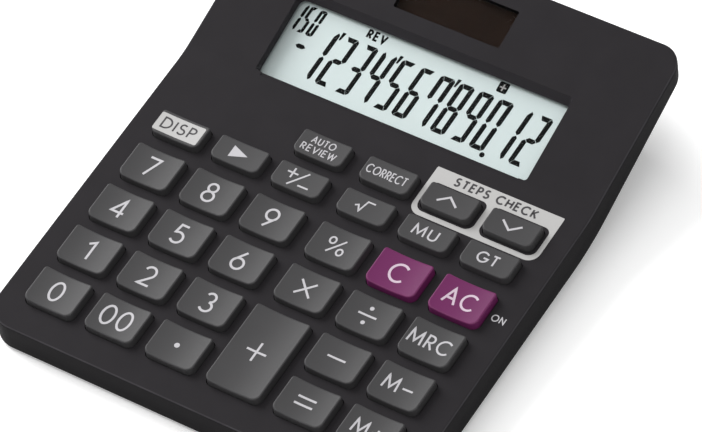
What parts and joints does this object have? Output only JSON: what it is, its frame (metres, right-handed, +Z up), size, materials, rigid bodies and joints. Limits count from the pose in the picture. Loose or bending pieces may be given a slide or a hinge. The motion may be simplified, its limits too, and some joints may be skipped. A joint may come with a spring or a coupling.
{
  "type": "desk calculator",
  "caption": "Solar desk calculator with a raised sloping liquid-crystal display, a solar cell and a grid of dished sprung keys on a tilted keyboard.",
  "frame": {"origin": "on the table under the middle of the case", "axes": "+Z up, +Y from the front key row towards the display, +X to the user's right"},
  "size_m": [0.1264, 0.147, 0.0284],
  "materials": {
    "upper_shell": "fine satin texture",
    "lower_shell": "fine satin texture",
    "key_grey": "satin",
    "key_magenta": "satin",
    "key_patch": "printed ink",
    "dome_rubber": "matte",
    "circuit_board": "solder resist",
    "clear_window": "polished",
    "display_glass": "polished",
    "reflector_film": "satin",
    "bracket_plastic": "satin",
    "cable_film": "satin",
    "solar_cell": "polished",
    "foam": "open cell",
    "epoxy": "gloss",
    "capacitor_sleeve": "gloss",
    "cell_steel": "polished",
    "contact_steel": "satin",
    "screw_steel": "satin",
    "foot_rubber": "matte",
    "wire_red": "satin",
    "wire_black": "satin",
    "legend_white": "printed ink",
    "legend_pink": "printed ink",
    "legend_dark": "printed ink",
    "panel_print": "printed ink",
    "segment_dark": "liquid crystal"
  },
  "bodies": {
    "case": {"battery_cell": "cell_steel", "battery_contact_lower": "contact_steel", "battery_contact_upper": "contact_steel", "board_screws": "screw_steel", "case_screws": "screw_steel", "controller_cover": "epoxy", "display_bracket": "bracket_plastic", "display_cable": "cable_film", "display_glass": "display_glass", "display_lens": "clear_window", "display_reflector": "reflector_film", "display_screws": "screw_steel", "key_mat": "dome_rubber", "lower_case": "lower_shell", "main_board": "circuit_board", "rubber_feet": "foot_rubber", "solar_cell": "solar_cell", "solar_lead_negative": "wire_black", "solar_lead_positive": "wire_red", "solar_pad": "foam", "solar_window": "clear_window", "storage_capacitor": "capacitor_sleeve", "upper_case": "upper_shell"},
    "key_0": {"key_0": "key_grey"},
    "key_00": {"key_00": "key_grey"},
    "key_1": {"key_1": "key_grey"},
    "key_2": {"key_2": "key_grey"},
    "key_3": {"key_3": "key_grey"},
    "key_4": {"key_4": "key_grey"},
    "key_5": {"key_5": "key_grey"},
    "key_6": {"key_6": "key_grey"},
    "key_7": {"key_7": "key_grey"},
    "key_8": {"key_8": "key_grey"},
    "key_9": {"key_9": "key_grey"},
    "key_all_clear": {"key_all_clear": "key_magenta"},
    "key_auto_review": {"key_auto_review": "key_grey"},
    "key_clear": {"key_clear": "key_magenta"},
    "key_correct": {"key_correct": "key_grey"},
    "key_display": {"key_display": "key_grey"},
    "key_divide": {"key_divide": "key_grey"},
    "key_down": {"key_down": "key_grey"},
    "key_equals": {"key_equals": "key_grey"},
    "key_grand_total": {"key_grand_total": "key_grey"},
    "key_mark_up": {"key_mark_up": "key_grey"},
    "key_memory_minus": {"key_memory_minus": "key_grey"},
    "key_memory_plus": {"key_memory_plus": "key_grey"},
    "key_memory_recall": {"key_memory_recall": "key_grey"},
    "key_minus": {"key_minus": "key_grey"},
    "key_multiply": {"key_multiply": "key_grey"},
    "key_percent": {"key_percent": "key_grey"},
    "key_plus": {"key_plus": "key_grey"},
    "key_point": {"key_point": "key_grey"},
    "key_root": {"key_root": "key_grey"},
    "key_shift_right": {"key_shift_right": "key_grey"},
    "key_sign": {"key_sign": "key_grey"},
    "key_up": {"key_up": "key_grey"}
  },
  "joints": [
    {"name": "key_0_press", "type": "slide", "parent": "case", "child": "key_0", "axis": [0, 0.0523, -0.9986], "range_m": [0, 0.0012], "stiffness_N_per_m": 400, "springref_m": -0.0005, "deforming": ["key_mat"]},
    {"name": "key_00_press", "type": "slide", "parent": "case", "child": "key_00", "axis": [0, 0.0523, -0.9986], "range_m": [0, 0.0012], "stiffness_N_per_m": 400, "springref_m": -0.0005, "deforming": ["key_mat"]},
    {"name": "key_1_press", "type": "slide", "parent": "case", "child": "key_1", "axis": [0, 0.0523, -0.9986], "range_m": [0, 0.0012], "stiffness_N_per_m": 400, "springref_m": -0.0005, "deforming": ["key_mat"]},
    {"name": "key_2_press", "type": "slide", "parent": "case", "child": "key_2", "axis": [0, 0.0523, -0.9986], "range_m": [0, 0.0012], "stiffness_N_per_m": 400, "springref_m": -0.0005, "deforming": ["key_mat"]},
    {"name": "key_3_press", "type": "slide", "parent": "case", "child": "key_3", "axis": [0, 0.0523, -0.9986], "range_m": [0, 0.0012], "stiffness_N_per_m": 400, "springref_m": -0.0005, "deforming": ["key_mat"]},
    {"name": "key_4_press", "type": "slide", "parent": "case", "child": "key_4", "axis": [0, 0.0523, -0.9986], "range_m": [0, 0.0012], "stiffness_N_per_m": 400, "springref_m": -0.0005, "deforming": ["key_mat"]},
    {"name": "key_5_press", "type": "slide", "parent": "case", "child": "key_5", "axis": [0, 0.0523, -0.9986], "range_m": [0, 0.0012], "stiffness_N_per_m": 400, "springref_m": -0.0005, "deforming": ["key_mat"]},
    {"name": "key_6_press", "type": "slide", "parent": "case", "child": "key_6", "axis": [0, 0.0523, -0.9986], "range_m": [0, 0.0012], "stiffness_N_per_m": 400, "springref_m": -0.0005, "deforming": ["key_mat"]},
    {"name": "key_7_press", "type": "slide", "parent": "case", "child": "key_7", "axis": [0, 0.0523, -0.9986], "range_m": [0, 0.0012], "stiffness_N_per_m": 400, "springref_m": -0.0005, "deforming": ["key_mat"]},
    {"name": "key_8_press", "type": "slide", "parent": "case", "child": "key_8", "axis": [0, 0.0523, -0.9986], "range_m": [0, 0.0012], "stiffness_N_per_m": 400, "springref_m": -0.0005, "deforming": ["key_mat"]},
    {"name": "key_9_press", "type": "slide", "parent": "case", "child": "key_9", "axis": [0, 0.0523, -0.9986], "range_m": [0, 0.0012], "stiffness_N_per_m": 400, "springref_m": -0.0005, "deforming": ["key_mat"]},
    {"name": "key_all_clear_press", "type": "slide", "parent": "case", "child": "key_all_clear", "axis": [0, 0.0523, -0.9986], "range_m": [0, 0.0012], "stiffness_N_per_m": 400, "springref_m": -0.0005, "deforming": ["key_mat"]},
    {"name": "key_auto_review_press", "type": "slide", "parent": "case", "child": "key_auto_review", "axis": [0, 0.0523, -0.9986], "range_m": [0, 0.0012], "stiffness_N_per_m": 400, "springref_m": -0.0005, "deforming": ["key_mat"]},
    {"name": "key_clear_press", "type": "slide", "parent": "case", "child": "key_clear", "axis": [0, 0.0523, -0.9986], "range_m": [0, 0.0012], "stiffness_N_per_m": 400, "springref_m": -0.0005, "deforming": ["key_mat"]},
    {"name": "key_correct_press", "type": "slide", "parent": "case", "child": "key_correct", "axis": [0, 0.0523, -0.9986], "range_m": [0, 0.0012], "stiffness_N_per_m": 400, "springref_m": -0.0005, "deforming": ["key_mat"]},
    {"name": "key_display_press", "type": "slide", "parent": "case", "child": "key_display", "axis": [0, 0.0523, -0.9986], "range_m": [0, 0.0012], "stiffness_N_per_m": 400, "springref_m": -0.0005, "deforming": ["key_mat"]},
    {"name": "key_divide_press", "type": "slide", "parent": "case", "child": "key_divide", "axis": [0, 0.0523, -0.9986], "range_m": [0, 0.0012], "stiffness_N_per_m": 400, "springref_m": -0.0005, "deforming": ["key_mat"]},
    {"name": "key_down_press", "type": "slide", "parent": "case", "child": "key_down", "axis": [0, 0.0523, -0.9986], "range_m": [0, 0.0012], "stiffness_N_per_m": 400, "springref_m": -0.0005, "deforming": ["key_mat"]},
    {"name": "key_equals_press", "type": "slide", "parent": "case", "child": "key_equals", "axis": [0, 0.0523, -0.9986], "range_m": [0, 0.0012], "stiffness_N_per_m": 400, "springref_m": -0.0005, "deforming": ["key_mat"]},
    {"name": "key_grand_total_press", "type": "slide", "parent": "case", "child": "key_grand_total", "axis": [0, 0.0523, -0.9986], "range_m": [0, 0.0012], "stiffness_N_per_m": 400, "springref_m": -0.0005, "deforming": ["key_mat"]},
    {"name": "key_mark_up_press", "type": "slide", "parent": "case", "child": "key_mark_up", "axis": [0, 0.0523, -0.9986], "range_m": [0, 0.0012], "stiffness_N_per_m": 400, "springref_m": -0.0005, "deforming": ["key_mat"]},
    {"name": "key_memory_minus_press", "type": "slide", "parent": "case", "child": "key_memory_minus", "axis": [0, 0.0523, -0.9986], "range_m": [0, 0.0012], "stiffness_N_per_m": 400, "springref_m": -0.0005, "deforming": ["key_mat"]},
    {"name": "key_memory_plus_press", "type": "slide", "parent": "case", "child": "key_memory_plus", "axis": [0, 0.0523, -0.9986], "range_m": [0, 0.0012], "stiffness_N_per_m": 400, "springref_m": -0.0005, "deforming": ["key_mat"]},
    {"name": "key_memory_recall_press", "type": "slide", "parent": "case", "child": "key_memory_recall", "axis": [0, 0.0523, -0.9986], "range_m": [0, 0.0012], "stiffness_N_per_m": 400, "springref_m": -0.0005, "deforming": ["key_mat"]},
    {"name": "key_minus_press", "type": "slide", "parent": "case", "child": "key_minus", "axis": [0, 0.0523, -0.9986], "range_m": [0, 0.0012], "stiffness_N_per_m": 400, "springref_m": -0.0005, "deforming": ["key_mat"]},
    {"name": "key_multiply_press", "type": "slide", "parent": "case", "child": "key_multiply", "axis": [0, 0.0523, -0.9986], "range_m": [0, 0.0012], "stiffness_N_per_m": 400, "springref_m": -0.0005, "deforming": ["key_mat"]},
    {"name": "key_percent_press", "type": "slide", "parent": "case", "child": "key_percent", "axis": [0, 0.0523, -0.9986], "range_m": [0, 0.0012], "stiffness_N_per_m": 400, "springref_m": -0.0005, "deforming": ["key_mat"]},
    {"name": "key_plus_press", "type": "slide", "parent": "case", "child": "key_plus", "axis": [0, 0.0523, -0.9986], "range_m": [0, 0.0012], "stiffness_N_per_m": 400, "springref_m": -0.0005, "deforming": ["key_mat"]},
    {"name": "key_point_press", "type": "slide", "parent": "case", "child": "key_point", "axis": [0, 0.0523, -0.9986], "range_m": [0, 0.0012], "stiffness_N_per_m": 400, "springref_m": -0.0005, "deforming": ["key_mat"]},
    {"name": "key_root_press", "type": "slide", "parent": "case", "child": "key_root", "axis": [0, 0.0523, -0.9986], "range_m": [0, 0.0012], "stiffness_N_per_m": 400, "springref_m": -0.0005, "deforming": ["key_mat"]},
    {"name": "key_shift_right_press", "type": "slide", "parent": "case", "child": "key_shift_right", "axis": [0, 0.0523, -0.9986], "range_m": [0, 0.0012], "stiffness_N_per_m": 400, "springref_m": -0.0005, "deforming": ["key_mat"]},
    {"name": "key_sign_press", "type": "slide", "parent": "case", "child": "key_sign", "axis": [0, 0.0523, -0.9986], "range_m": [0, 0.0012], "stiffness_N_per_m": 400, "springref_m": -0.0005, "deforming": ["key_mat"]},
    {"name": "key_up_press", "type": "slide", "parent": "case", "child": "key_up", "axis": [0, 0.0523, -0.9986], "range_m": [0, 0.0012], "stiffness_N_per_m": 400, "springref_m": -0.0005, "deforming": ["key_mat"]}
  ]
}
